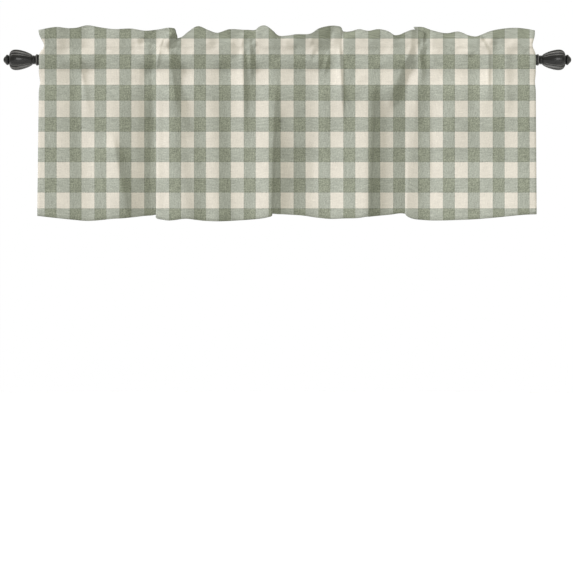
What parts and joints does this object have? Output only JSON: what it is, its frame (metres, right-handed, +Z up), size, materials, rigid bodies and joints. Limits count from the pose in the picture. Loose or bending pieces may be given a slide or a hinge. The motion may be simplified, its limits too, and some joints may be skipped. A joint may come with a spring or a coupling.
{
  "type": "window valance on a curtain rod",
  "caption": "Gathered check-cloth valance with a frilled header, hung by its rod pocket on a round rod with a fluted urn finial at each end.",
  "frame": {"origin": "on the rod's axis at half its length, where the wall brackets' cradles would carry it", "axes": "+X along the rod, to the right as seen from the front; the cloth's front faces -Y; +Z up"},
  "size_m": [1.365, 0.0498, 0.4712],
  "materials": {
    "check_cloth": "plain-woven slubbed linen look in sage green and cream check, matt",
    "dark_bronze": "dark bronze lacquer, satin"
  },
  "bodies": {
    "root": {"valance_cloth": "check_cloth", "curtain_rod": "dark_bronze", "finial_left": "dark_bronze", "finial_right": "dark_bronze"}
  },
  "joints": []
}
